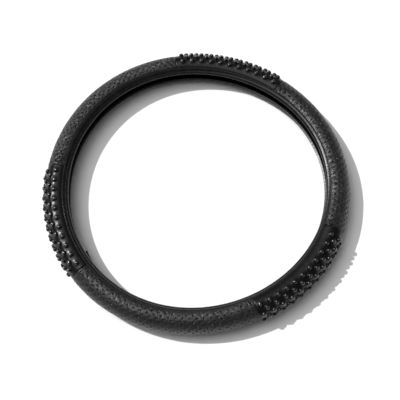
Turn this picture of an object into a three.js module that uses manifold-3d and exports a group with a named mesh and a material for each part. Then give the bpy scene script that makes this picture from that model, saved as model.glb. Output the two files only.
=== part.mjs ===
import * as THREE from "three";
import { mergeVertices } from "three/addons/utils/BufferGeometryUtils.js";
import Module from "manifold-3d";

// Steering wheel cover: a rubber ring with a C-shaped section, wrapped in six skins.
// Millimetres, +Z up. The cover lies flat on z = 0 with its ring axis on +Z.
// An angle round the ring runs from +X towards +Y. An angle round the section runs
// from the outermost line of the tube (0) over the top (90) to the inside (180).

const coverDiameter = 380; // over the leather, the 38 cm size
const tubeDiameter = 32.8; // over the leather
const skinThickness = 1.2;
const skinClearance = 0.3; // between the skins and the ring
const skinEdgeAngle = 114; // each skin runs from minus this to plus this
const lipStartAngle = 116;
const lipEndAngle = 152; // the mouth of the C is open from here on
const lipThickness = 3;
const ringWall = 2.5; // under the skins
const ovalAmount = 1.9; // the ring lies slightly out of round
const ovalAngle = 14;
const lobeAmount = 1.4;
const lobeAngle = 0;
const nubPanelCentres = [75.5, 195.5, 317.2];
const nubPatternShifts = [0, 0, -0.85]; // the nubs of the last panel sit nearer to its first seam
const seamGap = 0.4;
const seamDip = 0.8; // how far a skin is pulled in at a seam
const seamDipLength = 1.9;
const nubPitch = 4.14; // degrees round the ring
const nubRowPitch = 22.3; // degrees round the section
const nubRows = 8;
const nubsInRow = 11; // every second row has one less
const nubDiameter = 6.8;
const nubHeight = 3.5;
const tailAngle = 212.2; // loose end of flash at the lower left of the upper lip
const tailSpan = 7;
const tailThickness = 1.4;
const tailLift = 2.6;
const leatherPanelSteps = 11;
const channelSteps = 7;

const wasm = await Module();
wasm.setup();

const rad = Math.PI / 180;
const tubeRadius = tubeDiameter / 2;
const ringRadius = coverDiameter / 2 - tubeRadius;
const skinInner = tubeRadius - skinThickness;
const ringOuter = skinInner - skinClearance;
const channelRadius = ringOuter - ringWall;
const seamDipTurn = seamDipLength / ringRadius / rad;
const seamGapTurn = seamGap / 2 / ringRadius / rad;
const nubPanelSpan = nubsInRow * nubPitch + 2 * seamDipTurn;
const nubRowLines = steps(-(nubRows - 1) / 2, (nubRows - 1) / 2, nubRows - 1).map((k) => k * nubRowPitch);
const bareLine = (skinEdgeAngle + nubRowLines[nubRows - 1]) / 2;

// Where the facets of every skin and of its seat meet, round the section.
const arcLines = [-skinEdgeAngle, -bareLine, ...nubRowLines, bareLine, skinEdgeAngle];

// Where they meet along a nub panel: at the dip of each seam and between the nubs.
function nubColumns(index) {
  const middle = nubPanelCentres[index] + nubPatternShifts[index];
  const half = nubsInRow / 2 - 1;
  return [
    nubPanelCentres[index] - nubPanelSpan / 2 + seamDipTurn,
    ...steps(-half, half, nubsInRow - 2).map((k) => middle + k * nubPitch),
    nubPanelCentres[index] + nubPanelSpan / 2 - seamDipTurn,
  ];
}

function ringRadiusAt(turn) {
  const oval = ovalAmount * Math.cos(2 * (turn - ovalAngle) * rad);
  const lobes = lobeAmount * Math.cos(3 * (turn - lobeAngle) * rad);
  return ringRadius + oval + lobes;
}

function onTube(turn, around, radius) {
  const out = ringRadiusAt(turn) + radius * Math.cos(around * rad);
  return new THREE.Vector3(
    out * Math.cos(turn * rad),
    out * Math.sin(turn * rad),
    radius * Math.sin(around * rad),
  );
}

function steps(from, to, count) {
  return Array.from({ length: count + 1 }, (_, i) => from + ((to - from) * i) / count);
}

// Sweeps a section, a counter-clockwise list of [around, radius], along the list of turns.
// sectionAt(turn) gives the section of each turn. A closed sweep joins its end to its start.
function sweep(turns, sectionAt, closed) {
  const rings = turns.map((turn) => sectionAt(turn).map(([a, r]) => onTube(turn, a, r)));
  const n = rings[0].length;
  const points = rings.flat();
  const faces = [];
  const last = closed ? rings.length : rings.length - 1;
  for (let i = 0; i < last; i++) {
    const next = (i + 1) % rings.length;
    for (let j = 0; j < n; j++) {
      const k = (j + 1) % n;
      const a = i * n + j;
      const b = i * n + k;
      const c = next * n + k;
      const d = next * n + j;
      faces.push(a, c, b, a, d, c);
    }
  }
  if (!closed) {
    const outline = sectionAt(turns[0]).map(
      ([a, r]) => new THREE.Vector2(r * Math.cos(a * rad), r * Math.sin(a * rad)),
    );
    const start = (rings.length - 1) * n;
    for (const [a, b, c] of THREE.ShapeUtils.triangulateShape(outline, [])) {
      faces.push(a, b, c);
      faces.push(start + a, start + c, start + b);
    }
  }
  const geometry = new THREE.BufferGeometry().setFromPoints(points);
  geometry.setIndex(faces);
  return geometry;
}

function toSolid(geometry) {
  const bare = new THREE.BufferGeometry();
  bare.setAttribute("position", geometry.getAttribute("position"));
  bare.setIndex(geometry.index);
  const merged = mergeVertices(bare, 1e-3);
  return new wasm.Manifold(
    new wasm.Mesh({
      numProp: 3,
      vertProperties: merged.attributes.position.array,
      triVerts: new Uint32Array(merged.index.array),
    }),
  );
}

function fromSolid(solid) {
  const mesh = solid.getMesh();
  const geometry = new THREE.BufferGeometry();
  geometry.setAttribute("position", new THREE.BufferAttribute(mesh.vertProperties, 3));
  geometry.setIndex(new THREE.BufferAttribute(mesh.triVerts, 1));
  return geometry;
}

// A plain skin from seam to seam. It dips at both ends, where it is sewn to its neighbour.
function perforatedPanel(index) {
  const start = nubPanelCentres[index] + nubPanelSpan / 2;
  const next = nubPanelCentres[(index + 1) % 3] - nubPanelSpan / 2;
  const end = next < start ? next + 360 : next;
  const turns = [
    start + seamGapTurn,
    start + seamDipTurn,
    ...steps(start, end, leatherPanelSteps).slice(1, -1),
    end - seamDipTurn,
    end - seamGapTurn,
  ];
  const sectionAt = (turn) => {
    const atSeam = turn === turns[0] || turn === turns[turns.length - 1];
    return [
      ...arcLines.map((a) => [a, tubeRadius - (atSeam ? seamDip : 0)]),
      ...[...arcLines].reverse().map((a) => [a, skinInner]),
    ];
  };
  return sweep(turns, sectionAt, false);
}

// Corners of a six-sided nub, as directions on its skin: lower left to lower right,
// then upper left to upper right.
const lowerCorners = [201, 270, 339];
const upperCorners = [159, 90, 21];

// Joins two rows of points, both running with the turn, by the shorter diagonal each time.
function zip(points, faces, lower, upper) {
  let i = 0;
  let j = 0;
  const apart = (a, b) => points[a].distanceTo(points[b]);
  while (i < lower.length - 1 || j < upper.length - 1) {
    const below = i < lower.length - 1 ? apart(lower[i + 1], upper[j]) : Infinity;
    const above = j < upper.length - 1 ? apart(lower[i], upper[j + 1]) : Infinity;
    if (below <= above) {
      faces.push(lower[i], lower[i + 1], upper[j]);
      i++;
    } else {
      faces.push(lower[i], upper[j + 1], upper[j]);
      j++;
    }
  }
}

// A skin with its nubs moulded on. Every row of nubs is a line of six-sided domes, and the
// skin between two rows is zipped from corner to corner.
function nubPanel(index) {
  const centre = nubPanelCentres[index];
  const middle = centre + nubPatternShifts[index];
  const points = [];
  const faces = [];
  const add = (turn, around, radius) => points.push(onTube(turn, around, radius)) - 1;
  const columns = nubColumns(index);
  const startSeam = centre - nubPanelSpan / 2 + seamGapTurn;
  const endSeam = centre + nubPanelSpan / 2 - seamGapTurn;
  const starts = [];
  const ends = [];

  const plainLine = (around) => {
    const line = columns.map((turn) => add(turn, around, tubeRadius));
    starts.push(line[0]);
    ends.push(line[line.length - 1]);
    return line;
  };

  const nubAt = (turn, around) => {
    const turnPerMm = 1 / (ringRadius + tubeRadius * Math.cos(around * rad)) / rad;
    const aroundPerMm = 1 / tubeRadius / rad;
    const corner = (direction, size, height) =>
      add(
        turn + size * Math.cos(direction * rad) * turnPerMm,
        around + size * Math.sin(direction * rad) * aroundPerMm,
        tubeRadius + height,
      );
    const directions = [...lowerCorners, ...[...upperCorners].reverse()];
    const foot = directions.map((d) => corner(d, nubDiameter / 2, 0));
    const shoulder = directions.map((d) => corner(d, 0.33 * nubDiameter, 0.72 * nubHeight));
    const tip = add(turn, around, tubeRadius + nubHeight);
    directions.forEach((_, k) => {
      const next = (k + 1) % directions.length;
      faces.push(foot[k], foot[next], shoulder[next], foot[k], shoulder[next], shoulder[k]);
      faces.push(shoulder[k], shoulder[next], tip);
    });
    return { lower: foot.slice(0, 3), upper: foot.slice(3).reverse() };
  };

  const nubLine = (row) => {
    const around = nubRowLines[row];
    const count = row % 2 ? nubsInRow : nubsInRow - 1;
    const start = add(columns[0], around, tubeRadius);
    const nubs = steps(-(count - 1) / 2, (count - 1) / 2, count - 1).map((k) =>
      nubAt(middle + k * nubPitch, around),
    );
    const end = add(columns[nubsInRow], around, tubeRadius);
    starts.push(start);
    ends.push(end);
    faces.push(start, nubs[0].lower[0], nubs[0].upper[0]);
    for (let k = 0; k < count - 1; k++) {
      const a = nubs[k];
      const b = nubs[k + 1];
      faces.push(a.lower[2], b.lower[0], b.upper[0], a.lower[2], b.upper[0], a.upper[2]);
    }
    faces.push(nubs[count - 1].lower[2], end, nubs[count - 1].upper[2]);
    return {
      lower: [start, ...nubs.flatMap((n) => n.lower), end],
      upper: [start, ...nubs.flatMap((n) => n.upper), end],
    };
  };

  const lowEdge = plainLine(-skinEdgeAngle);
  let reached = plainLine(-bareLine);
  zip(points, faces, lowEdge, reached);
  for (let row = 0; row < nubRows; row++) {
    const line = nubLine(row);
    zip(points, faces, reached, line.lower);
    reached = line.upper;
  }
  const highBare = plainLine(bareLine);
  zip(points, faces, reached, highBare);
  const highEdge = plainLine(skinEdgeAngle);
  zip(points, faces, highBare, highEdge);

  const startRim = arcLines.map((a) => add(startSeam, a, tubeRadius - seamDip));
  const endRim = arcLines.map((a) => add(endSeam, a, tubeRadius - seamDip));
  const inner = [startSeam, ...columns, endSeam].map((turn) =>
    arcLines.map((a) => add(turn, a, skinInner)),
  );
  const quad = (a, b, c, d) => faces.push(a, b, c, a, c, d);
  const top = arcLines.length - 1;
  for (let k = 0; k < top; k++) {
    quad(startRim[k], starts[k], starts[k + 1], startRim[k + 1]);
    quad(ends[k], endRim[k], endRim[k + 1], ends[k + 1]);
    quad(inner[0][k], startRim[k], startRim[k + 1], inner[0][k + 1]);
    quad(endRim[k], inner[nubsInRow + 2][k], inner[nubsInRow + 2][k + 1], endRim[k + 1]);
  }
  const low = [startRim[0], ...lowEdge, endRim[0]];
  const high = [startRim[top], ...highEdge, endRim[top]];
  for (let i = 0; i < inner.length - 1; i++) {
    for (let k = 0; k < top; k++) {
      quad(inner[i][k], inner[i][k + 1], inner[i + 1][k + 1], inner[i + 1][k]);
    }
    quad(inner[i][0], inner[i + 1][0], low[i + 1], low[i]);
    quad(high[i], high[i + 1], inner[i + 1][top], inner[i][top]);
  }
  const geometry = new THREE.BufferGeometry().setFromPoints(points);
  geometry.setIndex(faces);
  return geometry;
}

// The C-shaped section: skin seat, lip, channel, lip.
function ringSection() {
  const lip = [
    [lipStartAngle, tubeRadius - 0.6],
    [lipStartAngle + 4, tubeRadius],
    [(lipStartAngle + lipEndAngle) / 2, tubeRadius],
    [lipEndAngle - 4, tubeRadius],
    [lipEndAngle, tubeRadius - 1],
    [lipEndAngle, tubeRadius - lipThickness],
  ];
  return [
    ...arcLines.map((a) => [a, ringOuter]),
    ...lip,
    ...steps(skinEdgeAngle, -skinEdgeAngle, channelSteps).map((a) => [a, channelRadius]),
    ...[...lip].reverse().map(([a, r]) => [-a, r]),
  ];
}

// The ring has a facet line under each line of the skins and at each seam.
function ringTurns() {
  return nubPanelCentres.flatMap((centre, i) => {
    const start = centre - nubPanelSpan / 2;
    const end = centre + nubPanelSpan / 2;
    const next = nubPanelCentres[(i + 1) % 3] - nubPanelSpan / 2;
    const leather = steps(end, next < end ? next + 360 : next, leatherPanelSteps);
    return [start, ...nubColumns(i), ...leather.slice(0, -1)];
  });
}

// The loose end of moulding flash that stands off the inner edge of the upper lip.
function tail() {
  const count = 5;
  const turns = steps(tailAngle, tailAngle + tailSpan, count);
  const lipMiddle = tubeRadius - lipThickness / 2;
  const points = [];
  for (const turn of turns) {
    const root = (turn - tailAngle) / tailSpan;
    const off = tailLift * (1 - root) - 1.0 * root;
    const half = tailThickness / 2;
    const centre = onTube(turn, lipEndAngle - 2, lipMiddle);
    const inward = new THREE.Vector3(-Math.cos(turn * rad), -Math.sin(turn * rad), 0);
    for (const [x, z] of [[half, -half], [half, half], [-half, half], [-half, -half]]) {
      points.push(centre.clone().addScaledVector(inward, off + x).add(new THREE.Vector3(0, 0, z)));
    }
  }
  const faces = [];
  for (let i = 0; i < count; i++) {
    for (let j = 0; j < 4; j++) {
      const a = i * 4 + j;
      const b = i * 4 + ((j + 1) % 4);
      faces.push(a, b, b + 4, a, b + 4, a + 4);
    }
  }
  const end = count * 4;
  faces.push(0, 3, 2, 0, 2, 1, end, end + 1, end + 2, end, end + 2, end + 3);
  const geometry = new THREE.BufferGeometry().setFromPoints(points);
  geometry.setIndex(faces);
  return geometry;
}

function rubberRing() {
  const ring = sweep(ringTurns(), ringSection, true);
  return fromSolid(toSolid(ring).add(toSolid(tail())));
}

const rubber = new THREE.MeshStandardMaterial({ color: 0x161617, roughness: 0.55 });
const leather = new THREE.MeshStandardMaterial({ color: 0x1d1d1e, roughness: 0.6 });
const gloss = new THREE.MeshStandardMaterial({ color: 0x121213, roughness: 0.35 });

const cover = new THREE.Group();
cover.name = "steering_wheel_cover";

function addPiece(name, geometry, material) {
  const mesh = new THREE.Mesh(geometry, material);
  mesh.name = name;
  cover.add(mesh);
}

addPiece("rubber_ring", rubberRing(), rubber);
nubPanelCentres.forEach((_, i) => {
  addPiece("perforated_panel_" + (i + 1), perforatedPanel(i), leather);
  addPiece("nub_panel_" + (i + 1), nubPanel(i), gloss);
});

// The cover lies on z = 0 with its box centred on the Z axis.
const box = new THREE.Box3().setFromObject(cover);
const centre = box.getCenter(new THREE.Vector3());
for (const mesh of cover.children) {
  mesh.geometry.translate(-centre.x, -centre.y, -box.min.z);
}

export default cover;
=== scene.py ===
import math

import bpy
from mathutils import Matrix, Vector


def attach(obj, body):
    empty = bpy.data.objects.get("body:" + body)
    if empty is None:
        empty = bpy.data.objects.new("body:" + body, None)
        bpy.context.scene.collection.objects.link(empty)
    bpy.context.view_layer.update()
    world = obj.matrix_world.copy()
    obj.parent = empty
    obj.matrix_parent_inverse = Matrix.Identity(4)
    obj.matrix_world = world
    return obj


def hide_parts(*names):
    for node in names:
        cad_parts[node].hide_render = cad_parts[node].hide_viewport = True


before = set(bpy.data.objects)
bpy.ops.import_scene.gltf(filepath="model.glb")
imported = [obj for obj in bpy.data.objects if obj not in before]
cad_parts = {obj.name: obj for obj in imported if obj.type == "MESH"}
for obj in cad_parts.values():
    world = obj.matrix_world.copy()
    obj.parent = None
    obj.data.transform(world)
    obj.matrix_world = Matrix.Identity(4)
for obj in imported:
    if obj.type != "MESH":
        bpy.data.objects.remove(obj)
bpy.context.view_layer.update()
print("frame loaded:", sorted(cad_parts))

# Everything is built flat first, in metres: x runs round the ring, y round the tube's section,
# and z stands out of the leather. The wrap then bends it on to the cover.
cover = {
    "ringRadius": 0.1736,
    "tubeRadius": 0.0164,
    "ovalAmount": 0.0019,  # the ring lies slightly out of round
    "ovalTurn": 14,
    "lobeAmount": 0.0014,
    "lobeTurn": 0,
    "middle": (0.00032, -0.0017, 0.01947),
    "nubPanelTurns": (75.5, 195.5, 317.2),
    "nubShifts": (0, 0, -0.0026),  # of the nubs along their panel
    "nubLeans": (0.0019, 0, 0),  # and over the tube, inwards
    "nubPanelLength": 0.1418,
    "skinHalfWidth": 0.0325,  # from the outermost line to where a skin ends, over the curve
    "seamGap": 0.0003,
    "endMargin": 0.003,  # the least that stays plain of a skin's length
    "reach": 6,  # degrees round the section that the skins are pulled further inwards
    "reachTurn": 345,  # twice that at this turn, and not at all opposite it
    "reachSpan": (92, 114, 152),  # it starts here round the section, is full here, and ends here
    "draw": 13.6,  # degrees that the groove of the upper lip is drawn back
    "drawSpread": 9,  # and how much less its end is, which widens the flank between
    "drawTurn": 31,  # most of all at this turn
    "drawNarrow": 4.0,  # a higher number keeps it closer to that turn
    "drawSpan": (124.6, 138.8, 152),  # from the edge of the skin over the groove to the end
}
wholeTurn = 2 * math.pi * cover["ringRadius"]


# Node helpers.

def addNode(tree, kind, inputs=None, **settings):
    made = tree.nodes.new(kind)
    for name, value in settings.items():
        setattr(made, name, value)
    for key, value in (inputs or {}).items():
        if isinstance(value, bpy.types.NodeSocket):
            tree.links.new(value, made.inputs[key])
        else:
            made.inputs[key].default_value = value
    return made


def addOut(tree, kind, inputs=None, **settings):
    return addNode(tree, kind, inputs, **settings).outputs[0]


def calc(tree, operation, *values):
    return addOut(tree, "ShaderNodeMath", dict(enumerate(values)), operation=operation)


def clamped(tree, value):
    return addOut(tree, "ShaderNodeMath", {0: value, 1: 0.0}, operation="ADD", use_clamp=True)


def combined(tree, x, y=0.0, z=0.0):
    return addOut(tree, "ShaderNodeCombineXYZ", {0: x, 1: y, 2: z})


def joined(tree, *parts):
    made = addNode(tree, "GeometryNodeJoinGeometry")
    for part in parts:
        tree.links.new(part, made.inputs[0])
    return made.outputs[0]


def stored(tree, geometry, name, value, kind, domain):
    values = {"Geometry": geometry, "Name": name, "Value": value}
    return addOut(tree, "GeometryNodeStoreNamedAttribute", values, data_type=kind, domain=domain)


# The last nodes of a tree, which make its result plain and give it its material.
def endTree(tree, geometry, material, output):
    whole = addOut(tree, "GeometryNodeRealizeInstances", {0: geometry})
    coloured = addOut(tree, "GeometryNodeSetMaterial", {"Geometry": whole, "Material": material})
    tree.links.new(coloured, output.inputs[0])


def newTree(name, inputs):
    tree = bpy.data.node_groups.new(name, "GeometryNodeTree")
    tree.interface.new_socket("Geometry", in_out="INPUT", socket_type="NodeSocketGeometry")
    for label, (kind, value) in inputs.items():
        socket = tree.interface.new_socket(label, in_out="INPUT", socket_type="NodeSocket" + kind)
        if value is not None:
            socket.default_value = value
    tree.interface.new_socket("Geometry", in_out="OUTPUT", socket_type="NodeSocketGeometry")
    return tree, tree.nodes.new("NodeGroupInput").outputs, tree.nodes.new("NodeGroupOutput")


def applyTree(piece, tree, values):
    modifier = piece.modifiers.new(tree.name, "NODES")
    modifier.node_group = tree
    for item in tree.interface.items_tree:
        if item.in_out == "INPUT" and item.name in values:
            modifier[item.identifier] = values[item.name]
    evaluated = piece.evaluated_get(bpy.context.evaluated_depsgraph_get())
    plain = bpy.data.meshes.new_from_object(evaluated)
    piece.modifiers.remove(modifier)
    piece.data = plain
    plain.name = piece.name
    return piece


def meshPiece(name, vertices, faces):
    mesh = bpy.data.meshes.new(name)
    mesh.from_pydata([tuple(v) for v in vertices], [], faces)
    mesh.update()
    piece = bpy.data.objects.new(name, mesh)
    bpy.context.scene.collection.objects.link(piece)
    return piece


def finish(piece, material):
    piece.data.materials.clear()
    piece.data.materials.append(material)
    piece.data.polygons.foreach_set("use_smooth", [True] * len(piece.data.polygons))


# Bends flat geometry on to the cover.
def wrapTree():
    tree, inputs, output = newTree(
        "wrapOnCover",
        {
            "Turn": ("Float", 0.0),
            "Ring Radius": ("Float", cover["ringRadius"]),
            "Tube Radius": ("Float", cover["tubeRadius"]),
            "Oval": ("Float", cover["ovalAmount"]),
            "Oval Turn": ("Float", math.radians(cover["ovalTurn"])),
            "Lobe": ("Float", cover["lobeAmount"]),
            "Lobe Turn": ("Float", math.radians(cover["lobeTurn"])),
            "Reach": ("Float", math.radians(cover["reach"])),
            "Reach Turn": ("Float", math.radians(cover["reachTurn"])),
            "Draw": ("Float", math.radians(cover["draw"])),
            "Draw Spread": ("Float", math.radians(cover["drawSpread"])),
            "Draw Turn": ("Float", math.radians(cover["drawTurn"])),
            "Middle": ("Vector", cover["middle"]),
        },
    )
    here = addOut(tree, "GeometryNodeInputPosition")
    x, y, z = addNode(tree, "ShaderNodeSeparateXYZ", {0: here}).outputs
    turn = calc(tree, "ADD", calc(tree, "DIVIDE", x, inputs["Ring Radius"]), inputs["Turn"])
    around = calc(tree, "DIVIDE", y, inputs["Tube Radius"])
    side = calc(tree, "ABSOLUTE", around)

    def shareOfWay(value, start, end):
        start, end = math.radians(start), math.radians(end)
        return calc(tree, "DIVIDE", calc(tree, "SUBTRACT", value, start), end - start)

    def waveOf(turnName, rounds=1.0):
        along = calc(tree, "SUBTRACT", turn, inputs[turnName])
        return calc(tree, "COSINE", calc(tree, "MULTIPLY", along, rounds))

    start, full, end = cover["reachSpan"]
    share = calc(tree, "MINIMUM", shareOfWay(side, start, full), shareOfWay(side, end, full))
    reachWave = calc(tree, "ADD", waveOf("Reach Turn"), 1.0)
    reach = calc(tree, "MULTIPLY", reachWave, inputs["Reach"])
    reach = calc(tree, "MULTIPLY", reach, clamped(tree, share))
    around = calc(tree, "MULTIPLY_ADD", calc(tree, "SIGN", around), reach, around)

    start, full, end = cover["drawSpan"]
    onLip = clamped(tree, shareOfWay(around, start, full))
    onFlank = clamped(tree, shareOfWay(around, full, end))
    draw = calc(
        tree,
        "SUBTRACT",
        calc(tree, "MULTIPLY", onLip, inputs["Draw"]),
        calc(tree, "MULTIPLY", onFlank, inputs["Draw Spread"]),
    )
    drawWave = calc(tree, "MAXIMUM", waveOf("Draw Turn"), 0.0)
    drawWave = calc(tree, "POWER", drawWave, cover["drawNarrow"])
    around = calc(tree, "SUBTRACT", around, calc(tree, "MULTIPLY", drawWave, draw))

    radius = calc(tree, "ADD", z, inputs["Tube Radius"])
    oval, lobes = waveOf("Oval Turn", 2.0), waveOf("Lobe Turn", 3.0)
    ringAt = calc(tree, "MULTIPLY_ADD", oval, inputs["Oval"], inputs["Ring Radius"])
    ringAt = calc(tree, "MULTIPLY_ADD", lobes, inputs["Lobe"], ringAt)
    out = calc(tree, "MULTIPLY_ADD", calc(tree, "COSINE", around), radius, ringAt)
    placed = combined(
        tree,
        calc(tree, "MULTIPLY", out, calc(tree, "COSINE", turn)),
        calc(tree, "MULTIPLY", out, calc(tree, "SINE", turn)),
        calc(tree, "MULTIPLY", radius, calc(tree, "SINE", around)),
    )
    moved = addOut(tree, "ShaderNodeVectorMath", {0: placed, 1: inputs["Middle"]}, operation="ADD")
    place = combined(tree, calc(tree, "MULTIPLY_ADD", inputs["Turn"], inputs["Ring Radius"], x), y)
    flat = stored(tree, inputs["Geometry"], "flat", place, "FLOAT2", "CORNER")
    bent = addOut(tree, "GeometryNodeSetPosition", {"Geometry": flat, "Position": moved})
    tree.links.new(bent, output.inputs[0])
    return tree


wrapOnCover = wrapTree()


def addWrap(tree, geometry, turn):
    made = addNode(tree, "GeometryNodeGroup", node_tree=wrapOnCover)
    tree.links.new(geometry, made.inputs["Geometry"])
    tree.links.new(turn, made.inputs["Turn"])
    return made.outputs[0]


# A skin: its tiles, each with one hole or one nub, fill the middle in a brick pattern,
# round which runs a plain border that folds down into the seams.
def skinTree():
    tree, inputs, output = newTree(
        "tiledSkin",
        {
            "Tile": ("Object", None),
            "Half Tile": ("Object", None),
            "Pitch": ("Float", 0.0084),
            "Row Pitch": ("Float", 0.004),
            "Columns": ("Int", 26),
            "Rows": ("Int", 15),
            "First Shifted": ("Int", 1),
            "Shift": ("Float", 0.0),
            "Lean": ("Float", 0.0),
            "Half Length": ("Float", 0.1),
            "Half Width": ("Float", 0.03),
            "Fold Length": ("Float", 0.0016),
            "Fold Width": ("Float", 0.0012),
            "Fold Depth": ("Float", 0.0009),
            "Edge Depth": ("Float", 0.0005),
            "Raised Height": ("Float", 0.003),
            "Thickness": ("Float", 0.0011),
            "Sag": ("Float", 0.0002),
            "Sag Size": ("Float", 40.0),
            "Seed": ("Float", 0.0),
            "Turn": ("Float", 0.0),
            "Material": ("Material", None),
        },
    )
    pitch, rowPitch = inputs["Pitch"], inputs["Row Pitch"]
    rowsHeight = calc(tree, "MULTIPLY", rowPitch, calc(tree, "SUBTRACT", inputs["Rows"], 1.0))
    rowsLength = calc(tree, "MULTIPLY", pitch, calc(tree, "SUBTRACT", inputs["Columns"], 1.0))
    here = addOut(tree, "GeometryNodeInputPosition")
    x, y, z = addNode(tree, "ShaderNodeSeparateXYZ", {0: here}).outputs

    rowNumber = calc(tree, "DIVIDE", calc(tree, "MULTIPLY_ADD", rowsHeight, 0.5, y), rowPitch)
    rowNumber = calc(tree, "ADD", calc(tree, "ROUND", rowNumber), inputs["First Shifted"])
    shifted = calc(tree, "MODULO", rowNumber, 2.0)

    spots = addOut(
        tree,
        "GeometryNodeMeshGrid",
        {
            "Size X": rowsLength,
            "Size Y": rowsHeight,
            "Vertices X": inputs["Columns"],
            "Vertices Y": inputs["Rows"],
        },
    )
    halfStep = combined(tree, calc(tree, "MULTIPLY", calc(tree, "MULTIPLY", shifted, 0.5), pitch))
    spots = addOut(tree, "GeometryNodeSetPosition", {"Geometry": spots, "Offset": halfStep})
    rowEnd = calc(tree, "MULTIPLY_ADD", pitch, 0.25, calc(tree, "MULTIPLY", rowsLength, 0.5))
    past = calc(tree, "GREATER_THAN", x, rowEnd)
    spots = addOut(tree, "GeometryNodeDeleteGeometry", {"Geometry": spots, "Selection": past})
    tile = addNode(tree, "GeometryNodeObjectInfo", {"Object": inputs["Tile"]}).outputs["Geometry"]
    tiles = addOut(tree, "GeometryNodeInstanceOnPoints", {"Points": spots, "Instance": tile})

    ends = addOut(
        tree,
        "GeometryNodeMeshGrid",
        {
            "Size X": calc(tree, "MULTIPLY_ADD", pitch, 0.5, rowsLength),
            "Size Y": rowsHeight,
            "Vertices X": 2,
            "Vertices Y": inputs["Rows"],
        },
    )
    plainRow = calc(tree, "LESS_THAN", shifted, 0.5)
    ends = addOut(tree, "GeometryNodeDeleteGeometry", {"Geometry": ends, "Selection": plainRow})
    halfTile = addNode(tree, "GeometryNodeObjectInfo", {"Object": inputs["Half Tile"]})
    halfTile = halfTile.outputs["Geometry"]
    halves = addOut(tree, "GeometryNodeInstanceOnPoints", {"Points": ends, "Instance": halfTile})

    along = combined(tree, inputs["Shift"], inputs["Lean"])
    pattern = joined(tree, halves, tiles)
    pattern = addOut(tree, "GeometryNodeTransform", {"Geometry": pattern, "Translation": along})
    pattern = joined(tree, pattern, inputs["Geometry"])
    real = addOut(tree, "GeometryNodeRealizeInstances", {0: pattern})
    merged = addOut(tree, "GeometryNodeMergeByDistance", {"Geometry": real, "Distance": 0.00002})
    toEnd = calc(tree, "SUBTRACT", inputs["Half Length"], calc(tree, "ABSOLUTE", x))
    toSide = calc(tree, "SUBTRACT", inputs["Half Width"], calc(tree, "ABSOLUTE", y))
    merged = stored(tree, merged, "edges", combined(tree, toEnd, toSide), "FLOAT2", "CORNER")
    height = calc(tree, "DIVIDE", z, inputs["Raised Height"])
    merged = stored(tree, merged, "raised", height, "FLOAT", "POINT")

    def foldDrop(along, half, width, depth):
        inside = calc(tree, "SUBTRACT", half, calc(tree, "ABSOLUTE", along))
        t = clamped(tree, calc(tree, "SUBTRACT", 1.0, calc(tree, "DIVIDE", inside, width)))
        arc = calc(tree, "SQRT", calc(tree, "SUBTRACT", 1.0001, calc(tree, "MULTIPLY", t, t)))
        return calc(tree, "MULTIPLY", calc(tree, "SUBTRACT", 1.0, arc), depth)

    drop = calc(
        tree,
        "MAXIMUM",
        foldDrop(x, inputs["Half Length"], inputs["Fold Length"], inputs["Fold Depth"]),
        foldDrop(y, inputs["Half Width"], inputs["Fold Width"], inputs["Edge Depth"]),
    )
    sag = addOut(
        tree,
        "ShaderNodeTexNoise",
        {"Vector": here, "W": inputs["Seed"], "Scale": inputs["Sag Size"], "Detail": 2.0},
        noise_dimensions="4D",
    )
    sagDepth = calc(tree, "MULTIPLY", inputs["Sag"], 2.0)
    lift = calc(tree, "MULTIPLY", calc(tree, "SUBTRACT", sag, 0.5), sagDepth)
    overBack = calc(tree, "ADD", z, inputs["Thickness"])
    topShare = clamped(tree, calc(tree, "DIVIDE", overBack, inputs["Thickness"]))
    lift = calc(tree, "MULTIPLY", calc(tree, "SUBTRACT", lift, drop), topShare)
    offset = combined(tree, 0.0, 0.0, lift)
    raised = addOut(tree, "GeometryNodeSetPosition", {"Geometry": merged, "Offset": offset})
    bent = addWrap(tree, raised, inputs["Turn"])
    endTree(tree, bent, inputs["Material"], output)
    return tree


tiledSkin = skinTree()


def lines(start, end, count):
    return [start + (end - start) * i / count for i in range(count + 1)]


# A tile with a ring of points round its middle for each (radius, height), the last one closed.
def tilePiece(name, length, width, look, rounds, closed):
    cutsX, cutsY, sides, stretch = look["cutsX"], look["cutsY"], look["sides"], look["stretch"]
    edge = [(x, -width / 2, 0) for x in lines(-length / 2, length / 2, cutsX)[:-1]]
    edge += [(length / 2, y, 0) for y in lines(-width / 2, width / 2, cutsY)[:-1]]
    edge += [(-x, width / 2, 0) for x in lines(-length / 2, length / 2, cutsX)[:-1]]
    edge += [(-length / 2, -y, 0) for y in lines(-width / 2, width / 2, cutsY)[:-1]]
    vertices = list(edge)
    faces = []
    start = math.atan2(edge[0][1], edge[0][0])
    for radius, height in rounds:
        for k in range(sides):
            turn = start + 2 * math.pi * k / sides
            vertices.append((stretch * radius * math.cos(turn), radius * math.sin(turn), height))
    # from the edge to the first round, by the nearer next point each time
    i = k = 0
    first = len(edge)
    while i < len(edge) or k < sides:
        a, b = i % len(edge), first + k % sides
        nextA, nextB = (i + 1) % len(edge), first + (k + 1) % sides
        stepEdge = (Vector(vertices[nextA]) - Vector(vertices[b])).length if i < len(edge) else 1e9
        stepRound = (Vector(vertices[a]) - Vector(vertices[nextB])).length if k < sides else 1e9
        if stepEdge <= stepRound:
            faces.append((a, nextA, b))
            i += 1
        else:
            faces.append((a, nextB, b))
            k += 1
    for level in range(len(rounds) - 1):
        low = first + level * sides
        for k in range(sides):
            n = (k + 1) % sides
            faces.append((low + k, low + n, low + sides + n, low + sides + k))
    last = first + (len(rounds) - 1) * sides
    vertices.append((0, 0, closed))
    faces += [(last + k, last + (k + 1) % sides, len(vertices) - 1) for k in range(sides)]
    return meshPiece(name, vertices, faces)


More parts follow.
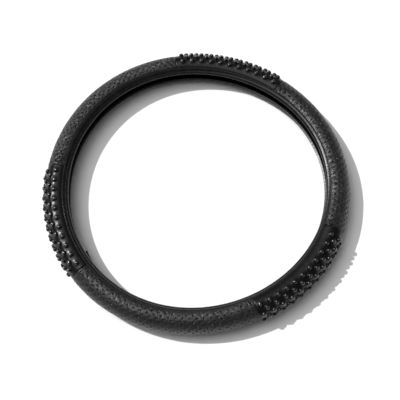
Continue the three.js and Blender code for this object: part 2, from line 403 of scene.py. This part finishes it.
# Half a tile, plain, for both ends of a shifted row.
def halfTilePiece(name, length, width, look):
    xs = lines(-length / 4, length / 4, look["cutsX"] // 2)
    ys = lines(-width / 2, width / 2, look["cutsY"])
    vertices = [(x, y, 0) for y in ys for x in xs]
    n = len(xs)
    faces = []
    for j in range(len(ys) - 1):
        for i in range(n - 1):
            a, b = j * n + i, (j + 1) * n + i
            faces.append((a, a + 1, b + 1, b))
    return meshPiece(name, vertices, faces)


# The border round the tiles, the cut edge all round, and the back of the skin.
def borderPiece(name, xs, ys, innerX, innerY, shift, lean, thickness):
    vertices, faces, index = [], [], {}
    back = -thickness

    def spot(x, y, z):
        key = (round(x, 6), round(y, 6), z)
        if key not in index:
            index[key] = len(vertices)
            vertices.append((x, y, z))
        return index[key]

    def level(x0, y0, x1, y1, z):
        corners = [(x0, y0), (x1, y0), (x1, y1), (x0, y1)]
        faces.append([spot(x, y, z) for x, y in corners])

    def upright(x0, y0, x1, y1):
        faces.append([spot(x0, y0, back), spot(x1, y1, back), spot(x1, y1, 0), spot(x0, y0, 0)])

    for x0, x1 in zip(xs, xs[1:]):
        for y0, y1 in zip(ys, ys[1:]):
            inTiles = abs((x0 + x1) / 2 - shift) < innerX and abs((y0 + y1) / 2 - lean) < innerY
            if not inTiles:
                level(x0, y0, x1, y1, 0)
            level(x1, y0, x0, y1, back)  # the other way round, so that it faces down
    for x0, x1 in zip(xs, xs[1:]):
        upright(x0, ys[0], x1, ys[0])
        upright(x1, ys[-1], x0, ys[-1])
    for y0, y1 in zip(ys, ys[1:]):
        upright(xs[0], y1, xs[0], y0)
        upright(xs[-1], y0, xs[-1], y1)
    return meshPiece(name, vertices, faces)


# Grid lines of a skin in one direction: close together on the fold, then at each cut of the tiles.
def skinLines(half, inner, cuts, folds, shift=0.0):
    low = [f - half for f in folds if f - half < shift - inner - 0.0001]
    high = [half - f for f in folds if half - f > shift + inner + 0.0001]
    return low + lines(shift - inner, shift + inner, cuts) + high[::-1]


def makeSkin(name, look, pitch, length, turn, shift, lean, tile, halfTile, seed, material):
    columns = min(look["columns"], int((length - cover["endMargin"]) / pitch))
    innerX = columns * pitch / 2
    innerY = look["rows"] * look["rowPitch"] / 2
    half = length / 2 - cover["seamGap"] / 2
    xs = skinLines(half, innerX, columns * look["cutsX"], look["folds"], shift)
    cuts = look["rows"] * look["cutsY"]
    ys = skinLines(cover["skinHalfWidth"], innerY, cuts, look["edgeLines"], lean)
    piece = borderPiece(name, xs, ys, innerX, innerY, shift, lean, look["thickness"])
    applyTree(
        piece,
        tiledSkin,
        {
            "Tile": tile,
            "Half Tile": halfTile,
            "Pitch": pitch,
            "Row Pitch": look["rowPitch"],
            "Columns": columns,
            "Rows": look["rows"],
            "First Shifted": look["firstShifted"],
            "Shift": shift,
            "Lean": lean,
            "Half Length": half,
            "Half Width": cover["skinHalfWidth"],
            "Fold Length": look["foldLength"],
            "Fold Width": look["foldWidth"],
            "Fold Depth": look["foldDepth"],
            "Edge Depth": look["edgeDepth"],
            "Thickness": look["thickness"],
            "Sag": look["sag"],
            "Sag Size": look["sagSize"],
            "Seed": float(seed),
            "Turn": math.radians(turn),
            "Material": material,
        },
    )
    finish(piece, material)
    return piece


# Materials. Patterns read the flat coordinates of the piece, in metres.

def newMaterial(name):
    material = bpy.data.materials.new(name)
    material.use_nodes = True
    material.node_tree.nodes.clear()
    return material, material.node_tree


def flatCoordinates(tree):
    return addOut(tree, "ShaderNodeUVMap", uv_map="flat")


def noise(tree, vector, scale, detail=2.0, roughness=0.5):
    values = {"Vector": vector, "Scale": scale, "Detail": detail, "Roughness": roughness}
    return addOut(tree, "ShaderNodeTexNoise", values)


def ramp(tree, value, low, high, newLow=0.0, newHigh=1.0):
    return addOut(
        tree, "ShaderNodeMapRange", {0: value, 1: low, 2: high, 3: newLow, 4: newHigh}, clamp=True
    )


def tint(tree, factor, dark, light):
    made = addNode(tree, "ShaderNodeMix", data_type="RGBA")
    made.inputs["A"].default_value = (*dark, 1)
    made.inputs["B"].default_value = (*light, 1)
    tree.links.new(factor, made.inputs["Factor"])
    return made.outputs["Result"]


def bump(tree, height, strength, distance, normal=None):
    inputs = {"Height": height, "Strength": strength, "Distance": distance}
    if normal is not None:
        inputs["Normal"] = normal
    return addOut(tree, "ShaderNodeBump", inputs)


def surface(tree, color, roughness, normal, **settings):
    linked = {"Base Color": color, "Roughness": roughness, "Normal": normal}
    shader = addNode(tree, "ShaderNodeBsdfPrincipled", linked)
    for key, value in settings.items():
        shader.inputs[key].default_value = value
    output = addNode(tree, "ShaderNodeOutputMaterial")
    tree.links.new(shader.outputs[0], output.inputs[0])
    return shader


leatherFinish = {
    # the leather's tone runs between dark and light; the dark end also carries painted shade in
    # the grain's valleys
    "dark": (0.003, 0.003, 0.0032),
    "light": (0.007, 0.007, 0.0074),
    "wobble": (0.0011, 0.0011, 0.0),  # how far the grain strays from a plain pattern
    "wobbleScale": 380.0,
    "pebble": (0.0009, 0.0014),  # the grain's size along the ring and across it
    "pebbleDepth": 0.00012,
    "valleyDepth": 0.00005,
    "crease": (0.00085, 0.0075),
    "creaseSlant": 0.4,
    "creaseDepth": 0.00038,
    "creaseAtSeam": 1.6,  # how much deeper the creases are near a seam
    "nearSeam": (0.003, 0.026),  # from here to here, away from the seam, they lose that
    "poreSize": 0.0004,
    "poreDepth": 0.00005,
    "patchScale": 55.0,
    "stitchLine": 0.0034,  # how far the top stitching runs from a seam
    "stitchDent": (0.0002, 0.0011),  # half the width of the line that it pulls in, and its rim
    "stitchDepth": 0.0006,
    "roughness": (0.28, 0.38),
    "ior": 1.6,
}


def leatherMaterial():
    look = leatherFinish
    material, tree = newMaterial("perforatedLeather")
    flat = flatCoordinates(tree)
    edges = addOut(tree, "ShaderNodeUVMap", uv_map="edges")
    toEnd = addOut(tree, "ShaderNodeSeparateXYZ", {0: edges})
    nearEnd = ramp(tree, toEnd, *look["nearSeam"], 1.0, 0.0)

    wobble = {"Vector": flat, "Scale": look["wobbleScale"], "Detail": 2.0}
    wobble = addNode(tree, "ShaderNodeTexNoise", wobble)
    strayed = {0: wobble.outputs[1], 1: look["wobble"], 2: flat}
    strayed = addOut(tree, "ShaderNodeVectorMath", strayed, operation="MULTIPLY_ADD")
    toCells = (1 / look["pebble"][0], 1 / look["pebble"][1], 1.0)
    cells = addOut(tree, "ShaderNodeVectorMath", {0: strayed, 1: toCells}, operation="MULTIPLY")
    pattern = {"Vector": cells, "Scale": 1.0}
    pebbles = addOut(tree, "ShaderNodeTexVoronoi", pattern, feature="SMOOTH_F1")
    valleys = addOut(tree, "ShaderNodeTexVoronoi", pattern, feature="DISTANCE_TO_EDGE")
    valleys = ramp(tree, valleys, 0.0, 0.12)

    slanted = addOut(
        tree,
        "ShaderNodeMapping",
        {"Vector": flat, "Rotation": (0, 0, look["creaseSlant"]), "Scale": (*look["crease"], 1.0)},
        vector_type="TEXTURE",
    )
    creases = ramp(tree, noise(tree, slanted, 1.0, 2.0, 0.55), 0.46, 0.66)
    deeper = calc(tree, "MULTIPLY_ADD", nearEnd, look["creaseAtSeam"], 1.0)
    creases = calc(tree, "MULTIPLY", creases, deeper)

    fromStitches = calc(tree, "ABSOLUTE", calc(tree, "SUBTRACT", toEnd, look["stitchLine"]))
    sewn = ramp(tree, fromStitches, *look["stitchDent"])
    pores = noise(tree, flat, 1 / look["poreSize"], 3.0, 0.65)
    patches = noise(tree, flat, look["patchScale"], 3.0)
    # painted shade: the valleys between the pebbles are coloured darker, where shade falls, and
    # random patches vary the tone on top
    valleyShadeAndTone = calc(tree, "MULTIPLY", valleys, ramp(tree, patches, 0.3, 0.7, 0.5, 1.0))
    color = tint(tree, valleyShadeAndTone, look["dark"], look["light"])
    mixed = calc(tree, "MULTIPLY_ADD", patches, 0.5, calc(tree, "MULTIPLY", pores, 0.5))
    roughness = ramp(tree, mixed, 0.3, 0.7, *look["roughness"])

    normal = bump(tree, creases, 1.0, look["creaseDepth"])
    normal = bump(tree, calc(tree, "MULTIPLY", pebbles, -1.0), 0.8, look["pebbleDepth"], normal)
    normal = bump(tree, valleys, 0.7, look["valleyDepth"], normal)
    normal = bump(tree, pores, 0.5, look["poreDepth"], normal)
    normal = bump(tree, sewn, 1.0, look["stitchDepth"], normal)
    surface(tree, color, roughness, normal, **{"IOR": look["ior"]})
    return material


nubbedFinish = {
    "dark": (0.003, 0.003, 0.0032),
    "light": (0.007, 0.007, 0.0074),
    "ripple": (260.0, 0.0004),  # scale and depth
    "dimples": (800.0, 0.00009),
    "pores": (4200.0, 0.00003),
    "roughness": (0.24, 0.32),
    "ior": 1.33,
    "polished": (0.45, 0.9),  # it turns glossy between these shares of 3 mm up a nub
    "polishRoughness": 0.13,
    "polishIor": 1.65,
}


def nubbedMaterial():
    look = nubbedFinish
    material, tree = newMaterial("nubbedSkin")
    flat = flatCoordinates(tree)
    color = tint(tree, noise(tree, flat, 70.0), look["dark"], look["light"])
    normal = None
    for name, strength in (("ripple", 0.4), ("dimples", 0.4), ("pores", 0.2)):
        scale, depth = look[name]
        normal = bump(tree, noise(tree, flat, scale), strength, depth, normal)
    raised = addNode(tree, "ShaderNodeAttribute", attribute_name="raised").outputs["Fac"]
    roughness = ramp(tree, noise(tree, flat, 120.0, 3.0), 0.3, 0.7, *look["roughness"])
    polish = {"Coat Roughness": look["polishRoughness"], "Coat IOR": look["polishIor"]}
    shader = surface(tree, color, roughness, normal, **{"IOR": look["ior"]}, **polish)
    tree.links.new(ramp(tree, raised, *look["polished"]), shader.inputs["Coat Weight"])
    return material


rubberFinish = {
    "dark": (0.005, 0.005, 0.0053),
    "light": (0.010, 0.010, 0.0105),
    "mouldLines": (420.0, 130.0, 1.0),
    "mouldDepth": 0.0004,
    "fineScale": 1600.0,
    "fineDepth": 0.00008,
    "roughness": (0.22, 0.32),
    "ior": 1.38,
}


def rubberMaterial():
    look = rubberFinish
    material, tree = newMaterial("mouldedRubber")
    flat = flatCoordinates(tree)
    bloom = noise(tree, flat, 90.0, 4.0, 0.6)
    color = tint(tree, ramp(tree, bloom, 0.35, 0.75), look["dark"], look["light"])
    mould = {0: flat, 1: look["mouldLines"]}
    mould = addOut(tree, "ShaderNodeVectorMath", mould, operation="MULTIPLY")
    normal = bump(tree, noise(tree, mould, 1.0, 3.0), 0.5, look["mouldDepth"])
    normal = bump(tree, noise(tree, flat, look["fineScale"]), 0.4, look["fineDepth"], normal)
    roughness = ramp(tree, bloom, 0.3, 0.7, *look["roughness"])
    surface(tree, color, roughness, normal, **{"IOR": look["ior"]})
    return material


threadFinish = {
    "dark": (0.008, 0.008, 0.009),
    "light": (0.024, 0.024, 0.025),
    "twistScale": 3200.0,
    "twistDepth": 0.0001,
    "roughness": (0.5, 0.65),
}


def threadMaterial():
    look = threadFinish
    material, tree = newMaterial("blackThread")
    here = addNode(tree, "ShaderNodeTexCoord").outputs["Object"]
    twist = noise(tree, here, look["twistScale"])
    color = tint(tree, twist, look["dark"], look["light"])
    normal = bump(tree, twist, 0.5, look["twistDepth"])
    surface(tree, color, ramp(tree, twist, 0.3, 0.7, *look["roughness"]), normal)
    return material


leather = leatherMaterial()
nubbed = nubbedMaterial()
rubber = rubberMaterial()
blackThread = threadMaterial()
print("materials made")

# The perforated skins, with small punched holes.
perforated = {
    "pitches": (0.0084, 0.0084, 0.00725),
    "rowPitch": 0.0040,
    "columns": 30,
    "rows": 15,
    "firstShifted": 0,
    "cutsX": 8,
    "cutsY": 4,
    "holeRadius": 0.00104,
    "holeDepth": 0.00098,
    # shares of the radius and depths, from the rim of the dimple inwards
    "holeRounds": (
        (1.72, 0),
        (1.45, 0.00006),
        (1.25, 0.00018),
        (1.1, 0.00036),
        (1.0, 0.00062),
        (0.96, 0.00095),
    ),
    "sides": 12,
    "stretch": 1.0,
    "thickness": 0.0011,
    "foldLength": 0.0018,
    "foldWidth": 0.0010,
    "foldDepth": 0.0009,
    "edgeDepth": 0.0005,
    "folds": (0, 0.0001, 0.0003, 0.0006, 0.001, 0.0014),
    "edgeLines": (0, 0.0001, 0.0003, 0.0006, 0.001, 0.0014),
    "sag": 0.00022,
    "sagSize": 45.0,
}


def holeTiles(pitch):
    hole, depth = perforated["holeRadius"], perforated["holeDepth"]
    rounds = [(hole * share, -sunk) for share, sunk in perforated["holeRounds"]]
    whole = tilePiece("holeTile", pitch, perforated["rowPitch"], perforated, rounds, -depth)
    return whole, halfTilePiece("plainHalfTile", pitch, perforated["rowPitch"], perforated)


# The nubbed skins, with the nubs moulded on.
nubSkin = {
    "pitch": 4.14 * math.radians(cover["ringRadius"]),
    "rowPitch": 23.3 * math.radians(cover["tubeRadius"]),
    "columns": 11,
    "rows": 8,
    "firstShifted": 1,
    "cutsX": 8,
    "cutsY": 4,
    "nubRadius": 0.0026,
    "nubHeight": 0.0034,
    # shares of the radius and of the height, from the foot up
    "nubRounds": (
        (1.24, 0),
        (1.09, 0.04),
        (1.01, 0.15),
        (0.99, 0.34),
        (0.93, 0.54),
        (0.79, 0.75),
        (0.52, 0.92),
    ),
    "sides": 18,
    "stretch": 1.07,  # a nub is longer along the ring
    "thickness": 0.0011,
    "foldLength": 0.0012,
    "foldWidth": 0.0010,
    "foldDepth": 0.0005,
    "edgeDepth": 0.0005,
    "folds": (0, 0.0001, 0.0003, 0.0006, 0.001, 0.0014),
    "edgeLines": (0, 0.0001, 0.0003, 0.0006, 0.001, 0.0016, 0.0026, 0.0038, 0.0052),
    "sag": 0.00018,
    "sagSize": 40.0,
}
nubRadius, nubHeight = nubSkin["nubRadius"], nubSkin["nubHeight"]
nubRounds = [(nubRadius * wide, nubHeight * high) for wide, high in nubSkin["nubRounds"]]
nubPitch, nubRow = nubSkin["pitch"], nubSkin["rowPitch"]
nubTile = tilePiece("nubTile", nubPitch, nubRow, nubSkin, nubRounds, nubHeight)
nubHalf = halfTilePiece("nubHalfTile", nubPitch, nubRow, nubSkin)

skins = []
for i, nubTurn in enumerate(cover["nubPanelTurns"]):
    nubLength = cover["nubPanelLength"]
    nubs = makeSkin(
        f"nubSkin{i + 1}",
        nubSkin,
        nubPitch,
        nubLength,
        nubTurn,
        cover["nubShifts"][i],
        cover["nubLeans"][i],
        nubTile,
        nubHalf,
        3 + i,
        nubbed,
    )
    between = (cover["nubPanelTurns"][(i + 1) % 3] - nubTurn) % 360
    length = math.radians(between) * cover["ringRadius"] - nubLength
    pitch = perforated["pitches"][i]
    panelTurn = nubTurn + between / 2
    holeTile, plainHalf = holeTiles(pitch)
    panel = makeSkin(
        f"perforatedSkin{i + 1}",
        perforated,
        pitch,
        length,
        panelTurn,
        0,
        0,
        holeTile,
        plainHalf,
        11 + i,
        leather,
    )
    bpy.data.objects.remove(holeTile)
    bpy.data.objects.remove(plainHalf)
    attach(nubs, "root")
    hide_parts(f"nub_panel_{i + 1}")
    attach(panel, "root")
    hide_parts(f"perforated_panel_{i + 1}")
    skins += [nubs, panel]
print("skins made:", [len(s.data.polygons) for s in skins])


# Wraps a plain flat piece, such as the ring.
def plainWrapTree():
    sockets = {"Turn": ("Float", 0.0), "Material": ("Material", None)}
    tree, inputs, output = newTree("plainWrap", sockets)
    bent = addWrap(tree, inputs["Geometry"], inputs["Turn"])
    merged = addOut(tree, "GeometryNodeMergeByDistance", {"Geometry": bent, "Distance": 0.000005})
    endTree(tree, merged, inputs["Material"], output)
    return tree


plainWrap = plainWrapTree()

ring = {
    "seatRadius": 14.8,  # millimetres, like the radii below
    "lipStart": 114.8,  # degrees round the section
    "lipEnd": 152,
    # the outline of a lip: degrees past its start, and millimetres over the tube
    "lipFromSkin": ((0.1, -0.6), (0.5, -0.2), (1.2, -0.06), (2.4, -0.01), (8, 0), (15, -0.08)),
    # then degrees before its end, over the groove, the bead and the flat end
    "lipToEnd": (
        (19.4, -0.28),
        (18.2, -0.40),
        (17.3, -0.38),
        (16.0, -0.24),
        (14.4, -0.03),
        (12.8, 0.17),
        (11.5, 0.29),
        (10.0, 0.34),
        (7.5, 0.33),
        (4.0, 0.22),
        (1.6, 0.06),
        (0.5, -0.12),
        (0, -0.35),
        (0.1, -0.55),
        (0.7, -1.6),
        (1.3, -2.7),
        (2.1, -3.05),
        (3.9, -3.15),
    ),
    "channelRadius": 12.4,
    "channelMargin": 2,  # degrees from a lip's start to the first rib
    "ribs": 13,
    "ribHeight": 0.35,
    "steps": 300,
}


def ringSection():
    start, end, radius = ring["lipStart"], ring["lipEnd"], cover["tubeRadius"] * 1000
    lip = [(start, ring["seatRadius"])]
    lip += [(start + a, radius + rise) for a, rise in ring["lipFromSkin"]]
    lip += [(end - a, radius + rise) for a, rise in ring["lipToEnd"]]
    seat = [(a, ring["seatRadius"]) for a in lines(-start, start, 24)][1:-1]
    channel, last = [], start - ring["channelMargin"]
    span = 2 * last / ring["ribs"]
    for k in range(ring["ribs"]):
        middle = last - (k + 0.5) * span
        for share, height in ((-0.5, 0), (-0.24, 0), (-0.12, 1), (0.12, 1), (0.24, 0)):
            low = ring["channelRadius"] - height * ring["ribHeight"]
            channel.append((middle - share * span, low))
    channel.append((-last, ring["channelRadius"]))
    return seat + lip + channel + [(-a, r) for a, r in reversed(lip)]


# The loose end of moulding flash that stands off the inner edge of the upper lip.
tail = {
    "turns": (211.8, 220.0),
    "place": (-13.2, -2.5),  # outwards and upwards from the middle of the tube, millimetres
    "lift": 3.0,  # how far the loose end stands off inwards
    "root": 0.7,  # how deep it goes into the ring at its fixed end
    "droop": 0.5,  # how much lower the loose end lies
    "thickness": 2.6,
    "tip": 0.8,  # share of the thickness at the loose end
    "steps": 14,
}


def addTail(vertices, faces):
    first, sides = len(vertices), 8
    for i in range(tail["steps"] + 1):
        share = i / tail["steps"]
        loose, fixed = tail["turns"]
        x = math.radians(loose + share * (fixed - loose)) * cover["ringRadius"]
        lift = tail["lift"] * (1 - share**2) - tail["root"] * share
        size = tail["thickness"] / 2 * (tail["tip"] if i == 0 else 1)
        for k in range(sides):
            turn = 2 * math.pi * k / sides
            out = tail["place"][0] - lift + size * math.cos(turn)
            up = tail["place"][1] - tail["droop"] * (1 - share) + size * math.sin(turn)
            around = math.atan2(up, out) * cover["tubeRadius"]
            vertices.append((x, around, math.hypot(out, up) / 1000 - cover["tubeRadius"]))
    for i in range(tail["steps"]):
        for k in range(sides):
            n = (k + 1) % sides
            a, b = first + i * sides, first + (i + 1) * sides
            faces.append((a + k, a + n, b + n, b + k))
    faces.append(tuple(first + k for k in reversed(range(sides))))
    faces.append(tuple(first + tail["steps"] * sides + k for k in range(sides)))


def ringPiece():
    section = ringSection()
    n, count, tube = len(section), ring["steps"], cover["tubeRadius"]
    vertices = []
    for i in range(count + 1):
        x = wholeTurn * i / count
        for a, r in section:
            vertices.append((x, math.radians(a) * tube, r / 1000 - tube))
    faces = []
    for i in range(count):
        for k in range(n):
            j = (k + 1) % n
            faces.append((i * n + k, (i + 1) * n + k, (i + 1) * n + j, i * n + j))
    addTail(vertices, faces)
    piece = meshPiece("rubberRing", vertices, faces)
    applyTree(piece, plainWrap, {"Turn": 0.0, "Material": rubber})
    finish(piece, rubber)
    return piece


rubberRing = ringPiece()
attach(rubberRing, "root")
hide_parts("rubber_ring")
print("ring made:", len(rubberRing.data.polygons))

# Stitches in rows: along both lips, and over the fold of the leather at each seam.
stitch = {
    "length": 0.0034,
    "thickness": 0.0005,
    "lipPitch": 0.0037,
    "seamPitch": 0.0038,
    "lipPlace": 0.0328,
    "seamOffset": 0.0034,
    "seamMargin": 0.002,  # from the edge of a skin to the first stitch of a seam
    "sunk": 0.0004,  # how deep a stitch's ends go in
    "arch": 0.00062,
    "uneven": 0.09,  # how far a stitch turns out of its row, radians
}


def stitchRowTree():
    tree, inputs, output = newTree(
        "stitchRow",
        {
            "Start": ("Vector", (0, 0, 0)),
            "Step": ("Vector", (0, 0, 0)),
            "Count": ("Int", 10),
            "Along": ("Float", 0.0),
            "Turn": ("Float", 0.0),
            "Seed": ("Int", 5),
            "Material": ("Material", None),
        },
    )
    spots = addOut(
        tree,
        "GeometryNodeMeshLine",
        {"Count": inputs["Count"], "Start Location": inputs["Start"], "Offset": inputs["Step"]},
    )
    limits = {2: -stitch["uneven"], 3: stitch["uneven"], "Seed": inputs["Seed"]}
    uneven = addNode(tree, "FunctionNodeRandomValue", limits, data_type="FLOAT")
    direction = calc(tree, "ADD", inputs["Along"], uneven.outputs[1])
    turned = addOut(tree, "ShaderNodeCombineXYZ", {2: direction})
    made = addOut(
        tree,
        "GeometryNodeInstanceOnPoints",
        {"Points": spots, "Instance": inputs["Geometry"], "Rotation": turned},
    )
    real = addOut(tree, "GeometryNodeRealizeInstances", {0: made})
    bent = addWrap(tree, real, inputs["Turn"])
    endTree(tree, bent, inputs["Material"], output)
    return tree


stitchRow = stitchRowTree()


# One stitch along x: a short arched length of thread whose ends go into the skin.
def stitchPiece(name):
    vertices, faces = [], []
    sides, levels = 6, 6
    for i in range(levels + 1):
        share = i / levels
        x = (share - 0.5) * stitch["length"]
        lift = stitch["arch"] * math.sin(math.pi * share) ** 0.6 - stitch["sunk"]
        size = stitch["thickness"] / 2 * (0.75 + 0.25 * math.sin(math.pi * share))
        for k in range(sides):
            turn = 2 * math.pi * k / sides
            vertices.append((x, size * math.cos(turn), lift + size * math.sin(turn)))
    for i in range(levels):
        for k in range(sides):
            n = (k + 1) % sides
            faces.append((i * sides + k, i * sides + n, (i + 1) * sides + n, (i + 1) * sides + k))
    faces.append(tuple(reversed(range(sides))))
    faces.append(tuple(levels * sides + k for k in range(sides)))
    return meshPiece(name, vertices, faces)


def stitchLine(name, start, step, count, along, turn, seed):
    piece = stitchPiece(name)
    applyTree(
        piece,
        stitchRow,
        {
            "Start": start,
            "Step": step,
            "Count": count,
            "Along": along,
            "Turn": math.radians(turn),
            "Seed": seed,
            "Material": blackThread,
        },
    )
    finish(piece, blackThread)
    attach(piece, "root")
    return piece


lipCount = round(wholeTurn / stitch["lipPitch"])
for name, side, seed in (("upperLipStitches", 1, 21), ("lowerLipStitches", -1, 22)):
    first = (0, side * stitch["lipPlace"], -stitch["sunk"])
    stitchLine(name, first, (wholeTurn / lipCount, 0, 0), lipCount, 0, 0, seed)
seamHalf = cover["skinHalfWidth"] - stitch["seamMargin"]
seamCount = round(2 * seamHalf / stitch["seamPitch"])
for i, nubTurn in enumerate(cover["nubPanelTurns"]):
    for side in (-1, 1):
        x = side * (cover["nubPanelLength"] / 2 + stitch["seamOffset"])
        stitchLine(
            f"seamStitches{2 * i + (side + 3) // 2}",
            (x, -seamHalf, 0.0),
            (0, 2 * seamHalf / (seamCount - 1), 0),
            seamCount,
            math.pi / 2,
            nubTurn,
            31 + i,
        )
print("stitches made")

for tool in (nubTile, nubHalf):
    bpy.data.objects.remove(tool)

# The floor, the light and the camera.
studio = {
    "floorSize": 60.0,
    "floorColor": (0.97, 0.97, 0.97),
    "keyDirection": (-0.603, 0.229, 0.764),
    "keyAngle": 1.5,
    "keyStrength": 2.8,
    "fillDirection": (-0.35, 0.11, 0.93),
    "fillStrength": 3.6,
    "fillWidth": 15.0,
    "around": 0.1,  # what the sky gives from every side
}


def floorMaterial():
    material, tree = newMaterial("paleFloor")
    floor = addNode(tree, "ShaderNodeBsdfDiffuse", {"Color": (*studio["floorColor"], 1)})
    output = addNode(tree, "ShaderNodeOutputMaterial")
    tree.links.new(floor.outputs[0], output.inputs[0])
    return material


reachOut = studio["floorSize"] / 2
corners = [(x * reachOut, y * reachOut, 0) for x, y in ((-1, -1), (1, -1), (1, 1), (-1, 1))]
floor = meshPiece("floor", corners, [(0, 1, 2, 3)])
finish(floor, floorMaterial())

world = bpy.data.worlds.new("studioSky")
bpy.context.scene.world = world
world.use_nodes = True
skyTree = world.node_tree
skyTree.nodes.clear()
toSky = addNode(skyTree, "ShaderNodeTexCoord").outputs["Generated"]
towards = {0: toSky, 1: studio["fillDirection"]}
towards = addNode(skyTree, "ShaderNodeVectorMath", towards, operation="DOT_PRODUCT")
towards = towards.outputs["Value"]
soft = calc(skyTree, "POWER", calc(skyTree, "MAXIMUM", towards, 0.0), studio["fillWidth"])
strength = calc(skyTree, "MULTIPLY_ADD", soft, studio["fillStrength"], studio["around"])
sky = addNode(skyTree, "ShaderNodeBackground", {"Color": (1, 1, 1, 1), "Strength": strength})
skyOutput = addNode(skyTree, "ShaderNodeOutputWorld")
skyTree.links.new(sky.outputs[0], skyOutput.inputs[0])

keyData = bpy.data.lights.new("keyLight", "SUN")
keyData.energy = studio["keyStrength"]
keyData.angle = math.radians(studio["keyAngle"])
key = bpy.data.objects.new("keyLight", keyData)
bpy.context.scene.collection.objects.link(key)
key.rotation_euler = Vector(studio["keyDirection"]).to_track_quat("Z", "Y").to_euler()

view = {"elevation": 67.57, "distance": 1.122, "lens": 80.2, "shift": (0.009, -0.0325)}
cameraData = bpy.data.cameras.new("photoCamera")
cameraData.sensor_width = 36
cameraData.lens = view["lens"]
cameraData.shift_x, cameraData.shift_y = view["shift"]
camera = bpy.data.objects.new("photoCamera", cameraData)
bpy.context.scene.collection.objects.link(camera)
aim = Vector(cover["middle"])
tilt = math.radians(view["elevation"])
camera.location = aim + view["distance"] * Vector((0, -math.cos(tilt), math.sin(tilt)))
camera.rotation_euler = (aim - camera.location).to_track_quat("-Z", "Y").to_euler()
bpy.context.scene.camera = camera

bpy.context.scene.view_settings.view_transform = "Standard"
print("scene ready")
